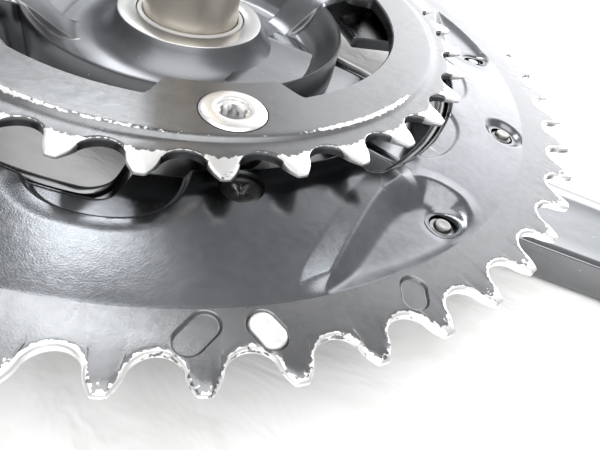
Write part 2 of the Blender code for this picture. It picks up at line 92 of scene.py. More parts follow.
# Drive arm, in millimetres.
CRANK_LENGTH = 170.0
EYE_RADIUS = 16.0
SPIDER_RIM = 39.8
TAB_ROUND = 7.0                         # half width and end radius of a spider tab
SHOULDER = (13.7, 18.25, 28.3)          # turned bare: inner and outer radius, and lowest height

# The camera: where it stands and how it is tilted, rolled and turned.
CAMERA_PLACE = (0.05804, -0.11737, 0.08691)
CAMERA_ANGLES = (44.307, -12.044, 19.099)
CAMERA_LENS = 29.79
WINDOW_SIDE = (76, 18)        # direction of the brightest part of the room: angle, elevation


# ---------------------------------------------------------------- materials

class Finish:
    """A Principled material and short ways to wire procedural detail into it."""

    def __init__(self, name, colour, metallic, roughness):
        self.material = bpy.data.materials.new(name)
        self.material.use_nodes = True
        self.tree = self.material.node_tree
        self.shader = self.tree.nodes["Principled BSDF"]
        self.shader.inputs["Base Color"].default_value = (*colour, 1)
        self.shader.inputs["Metallic"].default_value = metallic
        self.shader.inputs["Roughness"].default_value = roughness
        self.place = self.node("ShaderNodeTexCoord").outputs["Object"]

    def node(self, kind, settings=None, **inputs):
        made = self.tree.nodes.new(kind)
        for key, value in (settings or {}).items():
            setattr(made, key, value)
        for key, value in inputs.items():
            self.feed(made.inputs[key.replace("_", " ")], value)
        return made

    def feed(self, socket, value):
        if isinstance(value, bpy.types.NodeSocket):
            self.tree.links.new(value, socket)
        else:
            socket.default_value = value

    def noise(self, size, detail=3.0, stretch=(1, 1, 1), distortion=0.0):
        """Soft noise whose patches are about size metres across."""
        scale = tuple(s / size for s in stretch)
        mapped = self.node("ShaderNodeMapping", Vector=self.place, Scale=scale)
        made = self.node("ShaderNodeTexNoise", Vector=mapped.outputs[0], Scale=1.0,
                         Detail=detail, Distortion=distortion)
        return made.outputs["Fac"]

    def span(self, value, low, high, out_low=0.0, out_high=1.0):
        made = self.node("ShaderNodeMapRange", Value=value, From_Min=low, From_Max=high,
                         To_Min=out_low, To_Max=out_high)
        return made.outputs["Result"]

    def math(self, operation, a, b=0.0):
        made = self.node("ShaderNodeMath", {"operation": operation})
        self.feed(made.inputs[0], a)
        self.feed(made.inputs[1], b)
        return made.outputs[0]

    def mix(self, factor, a, b):
        made = self.node("ShaderNodeMix", {"data_type": "RGBA"})
        self.feed(made.inputs["Factor"], factor)
        for socket, value in zip([s for s in made.inputs if s.type == "RGBA"], (a, b)):
            self.feed(socket, (*value, 1) if isinstance(value, tuple) else value)
        return [s for s in made.outputs if s.type == "RGBA"][0]

    def blend(self, factor, a, b):
        return self.math("ADD", self.math("MULTIPLY", factor, self.math("SUBTRACT", b, a)), a)

    def attribute(self, name):
        return self.node("ShaderNodeAttribute", {"attribute_name": name}).outputs["Fac"]

    def bump(self, height, distance, strength=1.0):
        made = self.node("ShaderNodeBump", Height=height, Distance=distance, Strength=strength)
        old = self.shader.inputs["Normal"].links
        if old:
            self.tree.links.new(old[0].from_socket, made.inputs["Normal"])
        self.set("Normal", made.outputs[0])

    def set(self, socket, value):
        self.feed(self.shader.inputs[socket], value)


BARE_ALUMINIUM = (0.88, 0.88, 0.87)


def anodised(name, colour, roughness):
    """Dark anodised aluminium: satin grain, smudges, hair scratches and bare worn edges; on the small
    ring's edge line the bare metal also stands for a painted highlight.
    """
    f = Finish(name, colour, 1.0, roughness)
    smudge = f.noise(13 * MM, 5, distortion=0.4)
    mottle = f.noise(1.6 * MM, 4)
    fine = f.noise(0.30 * MM, 2)
    ragged = f.span(f.noise(0.8 * MM, 4), 0.2, 0.8, -0.34, 0.34)
    stretch = f.span(f.noise(32 * MM, 1), 0.42, 0.55, -0.30, 0.05)
    bare_and_sheen = f.math("ADD", f.math("ADD", f.attribute("bare_and_sheen"), ragged), stretch)
    bare_and_sheen = f.span(bare_and_sheen, 0.46, 0.54)
    specks = f.span(f.noise(0.7 * MM, 3), 0.78, 0.81)
    specks = f.math("MULTIPLY", specks, f.span(smudge, 0.5, 0.62, 0, 0.4))
    hair = f.span(f.noise(2.6 * MM, 2, (0.20, 1.6, 1), 0.3), 0.76, 0.77)
    hair = f.math("MULTIPLY", hair, 0.12)
    marks = f.math("MAXIMUM", bare_and_sheen, f.math("MAXIMUM", specks, hair))
    tone = f.blend(mottle, f.span(smudge, 0.3, 0.7, 0.0, 0.8), 1.0)
    tinted = f.mix(tone, tuple(c * 0.72 for c in colour), tuple(c * 1.22 for c in colour))
    f.set("Base Color", f.mix(marks, tinted, BARE_ALUMINIUM))
    f.set("Roughness", f.blend(marks, f.blend(smudge, roughness * 0.7, roughness * 1.3), 0.30))
    f.bump(fine, 0.016 * MM, 0.7)
    f.bump(mottle, 0.03 * MM, 0.5)
    f.bump(bare_and_sheen, -0.02 * MM, 0.4)
    return f.material


def forged(name, colour, roughness):
    """Polished and tinted forging: faint flow lines and handling smears."""
    f = Finish(name, colour, 1.0, roughness)
    smear = f.noise(22 * MM, 4, (1, 2.5, 1), 0.6)
    fine = f.noise(0.5 * MM, 3)
    specks = f.span(f.noise(1.3 * MM, 3), 0.72, 0.75)
    ragged = f.span(f.noise(0.9 * MM, 3), 0.2, 0.8, -0.2, 0.2)
    machined = f.span(f.math("ADD", f.attribute("bare_and_sheen"), ragged), 0.45, 0.55)
    tinted = f.mix(smear, tuple(c * 0.85 for c in colour), tuple(c * 1.18 for c in colour))
    tinted = f.mix(f.math("MULTIPLY", specks, 0.4), tinted, (0.6, 0.6, 0.6))
    f.set("Base Color", f.mix(machined, tinted, (0.42, 0.42, 0.41)))
    f.set("Roughness", f.blend(machined, f.blend(smear, roughness * 0.7, roughness * 1.4), 0.34))
    f.bump(f.noise(9 * MM, 2), 0.25 * MM, 0.35)
    f.bump(fine, 0.008 * MM, 0.5)
    return f.material


def bare_metal(name, colour, roughness, stain, strength, turned=True, metallic=1.0):
    """Machined metal with fine rings round its own length and a little staining."""
    f = Finish(name, colour, metallic, roughness)
    patches = f.noise(7 * MM, 5, (1, 1, 0.6), 0.5)
    spots = f.span(f.noise(1.6 * MM, 4), 0.70, 0.80)
    rings = f.noise(0.5 * MM, 2, (0.05, 0.05, 2.0) if turned else (1, 1, 1))
    cover = f.math("MULTIPLY", f.span(patches, 0.45, 0.75), strength)
    cover = f.math("MAXIMUM", cover, f.math("MULTIPLY", spots, strength))
    f.set("Base Color", f.mix(cover, colour, stain))
    f.set("Roughness", f.blend(rings, roughness * 0.75, roughness * 1.3))
    f.bump(rings, 0.01 * MM, 0.5)
    return f.material


def moulded(name, colour, roughness):
    """Fine-grained black plastic or rubber with dust in its grain."""
    f = Finish(name, colour, 0.0, roughness)
    grain = f.noise(0.28 * MM, 3)
    dust = f.span(f.noise(5 * MM, 5), 0.45, 0.75, 0, 0.35)
    f.set("Base Color", f.mix(dust, colour, tuple(c + 0.08 for c in colour)))
    f.set("Roughness", f.blend(grain, roughness * 0.8, min(1.0, roughness * 1.25)))
    f.bump(grain, 0.03 * MM, 0.6)
    return f.material


# ---------------------------------------------------------------- mesh tools

def finish_mesh(name, verts, faces, material, body, replaces, sharp, bare_and_sheen):
    """Make the piece; bare_and_sheen is how far the finish is worn off at each vertex, and on the small
    ring's edge line it also paints in a highlight.
    """
    mesh = bpy.data.meshes.new(name)
    mesh.from_pydata(verts, [], faces)
    mesh.polygons.foreach_set("use_smooth", [True] * len(mesh.polygons))
    mesh.set_sharp_from_angle(angle=math.radians(sharp))
    mesh.attributes.new("bare_and_sheen", "FLOAT", "POINT").data.foreach_set("value", bare_and_sheen)
    mesh.materials.append(material)
    item = bpy.data.objects.new(name, mesh)
    bpy.context.scene.collection.objects.link(item)
    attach(item, body)
    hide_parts(*replaces)
    return item


def loft(name, loops, material, replaces, body="crank", sharp=32, bare_and_sheen=None, ring=True):
    """Skin a row of loops of (x, y, z).  A ring closes on itself; otherwise the ends are filled."""
    rows, count = len(loops), len(loops[0])
    k = np.arange(count)
    after = (k + 1) % count
    faces = []
    for i in range(rows if ring else rows - 1):
        a, b = i * count, (i + 1) % rows * count
        faces += np.stack([a + k, b + k, b + after, a + after], 1).tolist()
    if not ring:
        faces += [k[::-1].tolist(), ((rows - 1) * count + k).tolist()]
    verts = np.concatenate(loops)
    worn_and_sheen = np.zeros(len(verts)) if bare_and_sheen is None else np.concatenate(bare_and_sheen)
    return finish_mesh(name, verts.tolist(), faces, material, body, replaces, sharp, worn_and_sheen)


def wheel(radius, angles, height):
    """A loop round the spindle; radius and height are numbers or one value for each angle."""
    a = np.radians(angles)
    return np.stack([radius * np.cos(a), radius * np.sin(a), height + 0 * a], 1)


def full_turn(count):
    """Angles evenly spaced round a circle."""
    return np.arange(count) * 360 / count


def lathe(name, profile, material, replaces, steps=96, at=(0, 0), ring=False):
    """Turned piece from (radius, height) rows, standing at a place in the plane."""
    angles = full_turn(steps)
    loops = [wheel(radius, angles, height) + [*at, 0] for radius, height in profile]
    return loft(name, loops, material, replaces, ring=ring)


def smoothstep(low, high, value):
    """Soft step from 0 at low to 1 at high."""
    t = np.clip((value - low) / (high - low), 0, 1)
    return t * t * (3 - 2 * t)


def polar(radius, degrees):
    """Place in the plane at a radius and an angle."""
    return radius * math.cos(math.radians(degrees)), radius * math.sin(math.radians(degrees))


def angle_from(angles, centre):
    """Signed angle from centre, between -180 and 180."""
    return (np.asarray(angles) - centre + 180) % 360 - 180


def tab_share(angles):
    """1 at the small ring's tabs, 0 between them, with soft sides."""
    share = np.zeros(len(angles))
    for bolt in BOLT_ANGLES:
        off = np.abs(angle_from(angles, bolt))
        side = smoothstep(SMALL_TAB_HALF - SMALL_TAB_SOFT, SMALL_TAB_HALF + SMALL_TAB_SOFT, off)
        share = np.maximum(share, 1 - side)
    return share


def tabbed_edge(angles, rim, tab, sides, fillet):
    """Inner radius (mm) of a ring whose tabs reach in to tab, with rounded corners at the rim."""
    radius = np.full(len(angles), float(rim))
    for bolt, (before, after) in zip(BOLT_ANGLES, sides):
        off = angle_from(angles, bolt)
        past = np.where(off < 0, -off - before, off - after)
        away = np.clip(np.radians(past) * rim, 0, fillet)
        corner = rim - fillet + np.sqrt(fillet ** 2 - (fillet - away) ** 2)
        inside = tab + (rim - fillet - tab) * smoothstep(-0.9, 0.0, past)
        radius = np.minimum(radius, np.where(past > 0, corner, inside))
    return radius


def angles_for(sides, step, reach):
    """Angles round the circle, closer together at the sides of the tabs."""
    parts = [np.arange(-180, 180, step)]
    for bolt, (before, after) in zip(BOLT_ANGLES, sides):
        parts.append(np.linspace(bolt - before - reach, bolt - before + 1.0, 46))
        parts.append(np.linspace(bolt + after - 1.0, bolt + after + reach, 46))
    return np.unique(np.round(angle_from(np.concatenate(parts), 0), 3))


# ---------------------------------------------------------------- toothed rings

def tooth_edge(teeth, root, tip, tip_half=1.05 * MM):
    """Points round a chainring's edge and the directions that point out of it, in the plane."""
    seat = root + ROLLER
    half = math.radians(180 / teeth)
    end = math.radians(64)
    one = [(seat - ROLLER * math.cos(t), ROLLER * math.sin(t)) for t in np.linspace(0, end, 9)]
    corner = ((tip - CHAMFER) * math.cos(half - tip_half / tip),
              (tip - CHAMFER) * math.sin(half - tip_half / tip))
    sx, sy = one[-1]
    for t in (0.22, 0.45, 0.68, 0.88):
        bulge = 0.35 * MM * math.sin(math.pi * t)
        one.append((sx + (corner[0] - sx) * t, sy + (corner[1] - sy) * t - bulge))
    one.append(corner)
    for t in (0.35, 1.0):
        lean = half - tip_half / tip * (1 - t)
        one.append((tip * math.cos(lean), tip * math.sin(lean)))
    upper = np.array(one)
    lower = upper[1:-1][::-1] * [1, -1]
    tooth = np.concatenate([lower, upper])
    points = []
    for k in range(teeth):
        a = 2 * half * k
        spin = np.array([[math.cos(a), math.sin(a)], [-math.sin(a), math.cos(a)]])
        points.append(tooth @ spin)
    points = np.concatenate(points)
    along = np.roll(points, -1, 0) - np.roll(points, 1, 0)
    out = np.stack([along[:, 1], -along[:, 0]], 1)
    return points, out / np.linalg.norm(out, axis=1)[:, None]


def lift(points, height):
    """Points of the plane raised to a height."""
    return np.column_stack([points, np.broadcast_to(height, len(points))])


PILL_POINTS = 64


def pill(radius, angle, turned, straight, end, height):
    """Loop with round ends at (radius, angle), its length pointing to turned; millimetres."""
    a = np.radians(full_turn(PILL_POINTS) + 2.8)
    along, across = end * np.cos(a) + straight * np.sign(np.cos(a)), end * np.sin(a)
    c, s = polar(1, turned)
    cx, cy = polar(radius, angle)
    x, y = cx + along * c - across * s, cy + along * s + across * c
    return np.stack([x * MM, y * MM, np.full(PILL_POINTS, height)], 1)


def big_ring_plate(material):
    """Toothed outer plate with pressed shift pockets in its band."""
    edge, out = tooth_edge(BIG_TEETH, BIG_ROOT, BIG_TIP)
    angles = np.degrees(np.arctan2(edge[:, 1], edge[:, 0]))
    reach = np.hypot(edge[:, 0], edge[:, 1])
    loops, bare_and_sheen = [], []

    def add(points, height, wear_and_sheen):
        loops.append(lift(points, height))
        bare_and_sheen.append(np.broadcast_to(wear_and_sheen, len(points)).astype(float))

    def circle(radius):
        return wheel(radius * MM, angles, 0)[:, :2]

    top, under = BIG_FACE, BIG_FACE - 2.1 * MM
    for radius in (90.35, 90.8, 93.0, 94.8):
        add(circle(radius), top, 0)
    inner = circle(95.9)
    at_tip = smoothstep(99.0 * MM, 101.5 * MM, reach)
    inset = edge - out * ((0.75 - 0.3 * at_tip) * MM)[:, None]
    slope = smoothstep(96 * MM, 103 * MM, reach) * 0.30 * MM
    for t, wear_and_sheen in ((0.35, 0.0), (0.7, 0.38 * at_tip), (1.0, 0.42 + 0.3 * at_tip)):
        add(inner + (inset - inner) * t, top - slope * t, wear_and_sheen)
    add(edge - out * 0.25 * MM, top - slope - 0.12 * MM, 0.85)
    add(edge, top - slope - 0.40 * MM, 0.9)
    wall = 0.9 - 0.25 * (reach < 98.2 * MM)
    add(edge, top - 1.05 * MM, wall)
    add(edge, under + slope + 0.40 * MM, 0.9)
    add(edge - out * 0.5 * MM, under + slope, 0.8)
    add(edge - out * 1.0 * MM, under + slope * 0.8, 0.2)
    add(circle(93.6), under, 0)
    add(circle(88.0), under, 0)
    item = loft("big_ring_teeth", loops, material, ["big_ring"], bare_and_sheen=bare_and_sheen)
    pockets = []
    for ramp in RAMPS:
        for lead, radius, turn, straight in SHIFT_POCKETS:
            pockets.append([pill(radius, ramp + lead, ramp + turn, straight, end, BIG_FACE + z * MM)
                            for end, z in POCKET_WALL])
    carve(item, "shift_pockets", pockets)
    return item


# Degrees from each bolt to the two sides of its tab.
BIG_TABS = ((20, 20), (18.3, 23.5), (23.5, 18.3), (20, 20))


def big_ring_web(material):
    """Body under the cover: rounded lip between the tabs and flat pads at them."""
    angles = angles_for(BIG_TABS, 0.5, 6)
    inner = tabbed_edge(angles, 68.2, 46.5, BIG_TABS, 5.0)
    pad = smoothstep(66, 58, inner)
    loops = []
    for inset, drop in ((0.0, 1.3), (0.1, 0.7), (0.35, 0.25), (0.75, 0.03), (1.2, 0.0), (1.6, 0.12),
                        (1.9, 0.4), (2.0, 0.9), (2.05, 1.5)):
        loops.append(wheel((inner + inset) * MM, angles, BIG_FACE + (0.1 - drop - 0.5 * pad) * MM))
    for radius, drop in ((73.0, 3.0), (88.4, 3.0), (93.5, 2.15)):
        loops.append(wheel(radius * MM, angles, BIG_FACE - drop * MM))
    loops.append(wheel(93.5 * MM, angles, BIG_BACK + 0.3 * MM))
    loops.append(wheel(93.2 * MM, angles, BIG_BACK))
    for inset, rise in ((0.5, 0.0), (0.1, 0.2), (0.0, 0.6)):
        loops.append(wheel((inner + inset) * MM, angles, BIG_BACK + rise * MM))
    return loft("big_ring_web", loops, material, ["big_ring"])


def small_ring(material):
    """Inner ring: raised flat face, stepped edge and scooped bright teeth."""
    edge, out = tooth_edge(SMALL_TEETH, SMALL_ROOT, SMALL_TIP, 0.95 * MM)
    angles = np.degrees(np.arctan2(edge[:, 1], edge[:, 0]))
    reach = np.hypot(edge[:, 0], edge[:, 1])
    inner = (52.0 - 6.6 * tab_share(angles)) * MM
    loops, bare_and_sheen = [], []

    def add(points, height, wear_and_sheen=0.0):
        loops.append(lift(points, height))
        bare_and_sheen.append(np.broadcast_to(wear_and_sheen, len(points)).astype(float))

    def circle(radius):
        return wheel(radius, angles, 0)[:, :2]

    top, band, under = SMALL_FACE, SMALL_FACE - 0.75 * MM, SMALL_FACE - 2.85 * MM
    add(circle(inner), top - 0.6 * MM, 0.1)
    add(circle(inner + 0.1 * MM), top - 0.25 * MM, 0.2)
    add(circle(inner + 0.35 * MM), top, 0.1)
    add(circle(inner + 0.8 * MM), top)
    add(circle(60.8 * MM), top, 0.0)
    worn_and_sheen = np.zeros(len(angles))
    for centre, half_width in WORN_AND_SHEEN_ARCS:
        off = np.abs(angle_from(angles, centre))
        worn_and_sheen = np.maximum(worn_and_sheen, 1 - smoothstep(half_width - 8, half_width + 4, off))
    # The bare line round the face's outer edge is worn metal and also a painted highlight on the bevel.
    add(circle(61.5 * MM), top, 0.25 * worn_and_sheen)
    add(circle(62.0 * MM), top - 0.02 * MM, 0.22 + 0.46 * worn_and_sheen)
    add(circle(62.4 * MM), top - 0.10 * MM, 0.28 + 0.40 * worn_and_sheen)
    add(circle(62.7 * MM), top - 0.24 * MM, 0.30 * worn_and_sheen)
    add(circle(63.3 * MM), top - 0.62 * MM, 0.05)
    add(circle(63.7 * MM), band, 0.05)
    add(circle(64.9 * MM), band, 0.0)
    inner_edge = circle(64.9 * MM)
    inset = edge - out * 0.45 * MM
    for t in (0.25, 0.5, 0.75, 1.0):
        points = inner_edge + (inset - inner_edge) * t
        r = np.hypot(points[:, 0], points[:, 1]) / MM
        wear_and_sheen = 0.95 * smoothstep(66.2, 67.0, r)
        add(points, band - 0.55 * MM * smoothstep(66.0, 71.5, r), wear_and_sheen)
    drop = 0.55 * MM * smoothstep(66.0, 71.5, reach / MM)
    wall = 0.15 + 0.8 * smoothstep(67.6, 69.0, reach / MM)
    add(edge - out * 0.1 * MM, band - drop - 0.08 * MM, np.maximum(wall, 0.55))
    add(edge, band - drop - 0.28 * MM, wall)
    add(edge, (band + under) / 2, wall)
    add(edge, under + drop + 0.25 * MM, wall)
    add(edge - out * 0.3 * MM, under + drop, wall)
    add(circle(64.6 * MM), under, 0)
    add(circle(63.2 * MM), under, 0)
    add(circle(63.1 * MM), SMALL_BACK + 0.3 * MM)
    add(circle(62.8 * MM), SMALL_BACK)
    add(circle(inner + 0.4 * MM), SMALL_BACK)
    add(circle(inner), SMALL_BACK + 0.4 * MM, 0.1)
    item = loft("small_ring_face", loops, material, ["small_ring"], bare_and_sheen=bare_and_sheen)
    seats = []
    for bolt in BOLT_ANGLES:
        seats.append([wheel(6.5 * MM, full_turn(64), SMALL_FACE + z * MM) + [*polar(BOLT_CIRCLE, bolt), 0]
                      for z in (-1.4, 2)])
    carve(item, "small_ring_seats", seats)
    return item


def carve(item, name, plugs):
    """Sink the plugs, each a row of loops, into a piece with one boolean."""
    verts, faces = [], []
    for loops in plugs:
        start, count = len(verts), len(loops[0])
        for loop in loops:
            verts += loop.tolist()
        for i in range(len(loops) - 1):
            for k in range(count):
                a, b = start + i * count, start + (i + 1) * count
                faces.append([a + k, a + (k + 1) % count, b + (k + 1) % count, b + k])
        last = start + (len(loops) - 1) * count
        faces.append(list(range(start + count - 1, start - 1, -1)))
        faces.append(list(range(last, last + count)))
    mesh = bpy.data.meshes.new(name)
    mesh.from_pydata(verts, [], faces)
    tool = bpy.data.objects.new(name, mesh)
    bpy.context.scene.collection.objects.link(tool)
    mod = item.modifiers.new("seats", "BOOLEAN")
    mod.operation = "DIFFERENCE"
    mod.solver = "EXACT"
    mod.object = tool
    graph = bpy.context.evaluated_depsgraph_get()
    old = item.data
    item.data = bpy.data.meshes.new_from_object(item.evaluated_get(graph))
    item.modifiers.clear()
    bpy.data.meshes.remove(old)
    bpy.data.objects.remove(tool)


# ---------------------------------------------------------------- pressed cover

# One pressed leaf: its sharp crest, then its round end behind the rivet, as (radius, angle).
CREST = ((90.3, -49.3), (87.6, -48.1), (83.8, -45.2), (80.4, -42.1), (77.2, -38.6), (74.6, -34.6),
         (73.5, -29.1))
ROUND_END = ((73.5, -29.1), (75.0, -25.4), (78.7, -23.3), (84.1, -22.4), (88.6, -24.3), (91.0, -27.0))
LEAF_DIP = 80                 # direction in which the floor of the leaf falls away
LEAF_MIDDLE = 36              # angle of a leaf's middle, to either side of the arm's line
LEAVES = ((1, 0), (-1, 0), (1, 180), (-1, 180))   # mirrored or not, and turned by
COVER_TABS = ((18, 18), (16.8, 21.5), (21.5, 16.8), (18, 18))
DEEP_OVALS = (-74.5, 74.5, 105.5, 254.5)
FAINT_OVALS = (-12, 12, 168, 192)
OVAL_CIRCLE = 65              # mm, radius the ovals lie on
OVAL_LENGTH = 13.5            # mm, half of an oval along the circle and across it
OVAL_WIDTH = 10.5
PANEL_TOP = ((58, 2.5), (66, 2.55), (69.5, 2.5), (90.5, 0.0), (92, 0.0))   # radius, height


def soft_line(points, mirror, turn):
    """Smooth dense line in the plane, in millimetres, through a few (radius, angle) points."""
    corners = np.array([polar(r, turn + mirror * a) for r, a in points])
    fine = np.linspace(0, len(corners) - 1, 90)
    line = np.stack([np.interp(fine, np.arange(len(corners)), corners[:, i]) for i in (0, 1)], 1)
    for _ in range(50):
        line[1:-1] = (line[:-2] + line[2:] + 2 * line[1:-1]) / 4
    return line


def away_from(line, x, y):
    """Distance of each point from a line of short straight steps."""
    best = np.full(x.shape, 1e9)
    for (ax, ay), (bx, by) in zip(line[:-1], line[1:]):
        dx, dy = bx - ax, by - ay
        t = np.clip(((x - ax) * dx + (y - ay) * dy) / (dx * dx + dy * dy), 0, 1)
        best = np.minimum(best, np.hypot(x - ax - t * dx, y - ay - t * dy))
    return best


def within(line, x, y):
    """True for the points inside a closed line."""
    inside = np.zeros(x.shape, bool)
    for (ax, ay), (bx, by) in zip(line, np.roll(line, -1, 0)):
        if ay != by:
            crosses = (ay > y) != (by > y)
            inside ^= crosses & (x < (bx - ax) * (y - ay) / (by - ay) + ax)
    return inside


def panel_profile():
    """Height of the plain panel over the ring's face against radius, in millimetres."""
    fine = np.linspace(58, 92, 500)
    heights = np.interp(fine, *zip(*PANEL_TOP))
    blur = np.hanning(25)
    return fine, np.convolve(np.pad(heights, 12, mode="edge"), blur / blur.sum(), "valid")


def cover_height(r, angles):
    """Height of the pressed panel over the ring's face, in millimetres."""
    z = np.interp(r, *panel_profile())
    x, y = r * np.cos(np.radians(angles)), r * np.sin(np.radians(angles))
    for centre in DEEP_OVALS + FAINT_OVALS:
        along = np.radians(angle_from(angles, centre)) * r
        across = (r - OVAL_CIRCLE) / OVAL_WIDTH
        shape = (np.abs(along / OVAL_LENGTH) ** 2.5 + np.abs(across) ** 2.5) ** 0.4
        outside = (shape - 1) * OVAL_WIDTH
        strength = 1.0 if centre in DEEP_OVALS else 0.25
        rolled = 0.48 * np.clip(1 - np.maximum(outside, 0) / 3.4, 0, 1) ** 1.6
        z = z - strength * (rolled + 1.6 * (1 - smoothstep(-0.9, 0.15, outside)))
    for mirror, turn in LEAVES:
        near = np.abs(angle_from(angles, turn - mirror * LEAF_MIDDLE)) < 24
        px, py, old = x[near], y[near], z[near]
        crest, end = soft_line(CREST, mirror, turn), soft_line(ROUND_END, mirror, turn)
        rim = wheel(91.5, turn + mirror * np.linspace(-27.2, -49.6, 24), 0)[:, :2]
        inside = within(np.concatenate([crest, end, rim]), px, py)
        from_crest, from_end = away_from(crest, px, py), away_from(end, px, py)
        fade = smoothstep(90.5, 86.8, r[near])
        ridge = 1.05 * np.clip(1 - from_crest / 4.6, 0, 1) ** 1.15
        raised = old + fade * np.maximum(ridge, 0.30 * np.clip(1 - from_end / 3.0, 0, 1) ** 1.5)
        # The recess is a slope down from the crest that meets one falling away from the panel's edge.
        ux, uy = polar(1, turn + mirror * LEAF_DIP)
        behind = px * ux + py * uy
        from_edge = behind + np.sqrt(np.maximum(behind ** 2 + COVER_EDGE ** 2 - r[near] ** 2, 0))
        floor = -0.215 * (from_edge + 6.0 - np.hypot(from_edge - 6.0, 2.0)) / 2
        down = raised - 0.50 * from_crest
        recess = np.minimum((down + floor + np.hypot(down - floor, 0.30)) / 2, raised)
        opened = smoothstep(-0.3, 6.6, from_end)
        z[near] = np.where(inside, raised * (1 - opened) + recess * opened, raised)
    for rivet in RIVETS:
        cx, cy = polar(RIVET_CIRCLE, rivet)
        d = np.hypot(x - cx, y - cy)
        bowl = 0.85 if rivet in PLAIN_RIVETS else 0.10
        z = z - bowl * (1 - smoothstep(3.6, 5.6, d)) - 0.30 * (1 - smoothstep(3.3, 4.3, d))
    return z


def big_ring_cover(material):
    """Pressed panel with its turned-in lip, hollow behind, and holes for rivets and screws."""
    angles = angles_for(COVER_TABS, 0.25, 6)
    inner = tabbed_edge(angles, 70.5, 62.4, COVER_TABS, 4.0)
    loops = []
    for t in np.linspace(0, 1, 90):
        radius = inner + (COVER_EDGE - inner) * t
        turned_in = 0.8 * (1 - smoothstep(0, 1.0, radius - inner)) ** 2
        height = cover_height(radius, angles) - turned_in
        loops.append(wheel(radius * MM, angles, BIG_FACE + height * MM))
    underside = ((90.0, -1.2), (88.5, -3.3), (76.0, -3.3), (inner + 1.2, -0.3), (inner + 0.1, -0.2))
    for radius, height in underside:
        loops.append(wheel(radius * MM, angles, BIG_FACE + height * MM))
    item = loft("big_ring_cover_panel", loops, material, ["big_ring_cover"], sharp=60)
    plugs = []
    around = full_turn(48)

    def plug(radius, angle, rows):
        at = [*polar(radius * MM, angle), 0]
        plugs.append([wheel(r * MM, around, BIG_FACE + z * MM) + at for r, z in rows])

    for rivet in RIVETS:
        plug(RIVET_CIRCLE, rivet, ((2.9, -3.2), (2.9, 4)))
    for bolt in BOLT_ANGLES:
        plug(SCREW_CIRCLE, bolt, ((2.6, -3.2), (2.6, 0.2), (4.1, 1.0), (4.1, 4)))
    carve(item, "cover_holes", plugs)
    return item


# ---------------------------------------------------------------- fasteners

def ring_bolt(number, bolt, material):
    """Chainring bolt: satin flange, a shallow round recess and a six-lobed socket in it."""
    angles = full_turn(96)
    at = [*polar(BOLT_CIRCLE, bolt), 0]
    lobes = 2.2 + 0.55 * (0.5 + 0.5 * np.cos(np.radians((angles + 12) * 6))) ** 0.7
    rows = [(0.01, -3.0), (1.0, -3.0), (lobes - 0.15, -2.9), (lobes, -0.95), (lobes + 0.08, -0.85),
            (2.95, -0.80), (3.12, -0.7), (3.25, -0.15), (3.45, -0.03), (3.9, 0.0), (4.8, -0.03),
            (5.6, -0.14), (6.05, -0.30), (6.27, -0.55), (6.3, -0.9), (6.3, -1.5), (4.0, -2.0),
            (4.0, -12.5), (3.6, -12.9), (0.01, -12.9)]
    loops = [wheel(r * MM, angles, BOLT_TOP + z * MM) + at for r, z in rows]
    return loft(f"ring_bolt_{number}_screw", loops, material,
                [f"ring_bolt_{number}"], ring=False)


def cover_screw(number, bolt, material):
    """Countersunk screw with a cross recess."""
    angles = full_turn(96)
    at = [*polar(SCREW_CIRCLE * MM, bolt), 0]
    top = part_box(f"cover_screw_{number}")[1].z
    lean = np.radians(angles + 20)
    arm = 0.48 / np.maximum(np.minimum(np.abs(np.sin(lean)), np.abs(np.cos(lean))), 0.05)
    cross = np.minimum(arm, 2.0)
    loops = [wheel(1e-5, angles, top - 1.1 * MM) + at,
             wheel(cross * 0.55 * MM, angles, top - 0.95 * MM) + at,
             wheel(cross * MM, angles, top - 0.12 * MM) + at,
             wheel((cross + 0.1) * MM, angles, top - 0.03 * MM) + at]
    rows = [(2.6, 0.0), (3.3, -0.03), (3.75, -0.14), (3.85, -0.3), (3.4, -0.8), (1.6, -1.4), (1.5, -3.6)]
    loops += [wheel(r * MM, angles, top + z * MM) + at for r, z in rows]
    loops.append(wheel(1e-5, angles, top - 3.6 * MM) + at)
    return loft(f"cover_screw_{number}_head", loops, material,
                [f"cover_screw_{number}"], ring=False, sharp=45)


def cover_rivet(number, angle, material):
    """Stud with a domed end and a wider foot under the panel."""
    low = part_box(f"cover_rivet_{number}")[0].z
    top = BIG_FACE + (0.35 if angle in PLAIN_RIVETS else -1.25) * MM
    rows = [(1e-5, top - 0.06 * MM), (0.8 * MM, top - 0.05 * MM), (1.2 * MM, top),
            (1.55 * MM, top - 0.1 * MM), (1.75 * MM, top - 0.45 * MM), (1.8 * MM, top - 0.9 * MM),
            (2.4 * MM, top - 1.1 * MM), (2.45 * MM, low), (1e-5, low)]
    return lathe(f"cover_rivet_{number}_head", rows, material,
                 [f"cover_rivet_{number}"], steps=64, at=polar(RIVET_CIRCLE * MM, angle))


def shift_ramp(number, angle, material):
    """Hardened pill-shaped plate set in the band."""
    rows = ((0.1, 0.24), (1.3, 0.27), (1.75, 0.22), (2.0, 0.08), (2.08, -0.2), (2.08, -0.9), (0.1, -0.9))
    loops = [pill(RAMP_CIRCLE, angle, angle + RAMP_TURN, RAMP_STRAIGHT, end, BIG_FACE + z * MM)
             for end, z in rows]
    return loft(f"shift_ramp_{number}_plate", loops, material,
                [f"shift_ramp_{number}"], ring=False, sharp=60)


def spindle(material):
    """Hollow spindle with chamfered ends."""
    low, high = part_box("spindle")[0].z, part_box("spindle")[1].z
    rows = [(9.3, low + 0.3 * MM), (9.6, low), (11.6, low), (12.0, low + 0.4 * MM), (12.0, 0.0285),
            (12.0, 0.040), (12.0, 0.1185), (12.0, high - 1.5 * MM), (11.3, high - 0.2 * MM), (11.0, high),
            (9.7, high), (9.2, high - 0.5 * MM)]
    return lathe("spindle_tube", [(r * MM, z) for r, z in rows], material,
                 ["spindle"], ring=True, steps=128)


# ---------------------------------------------------------------- drive arm

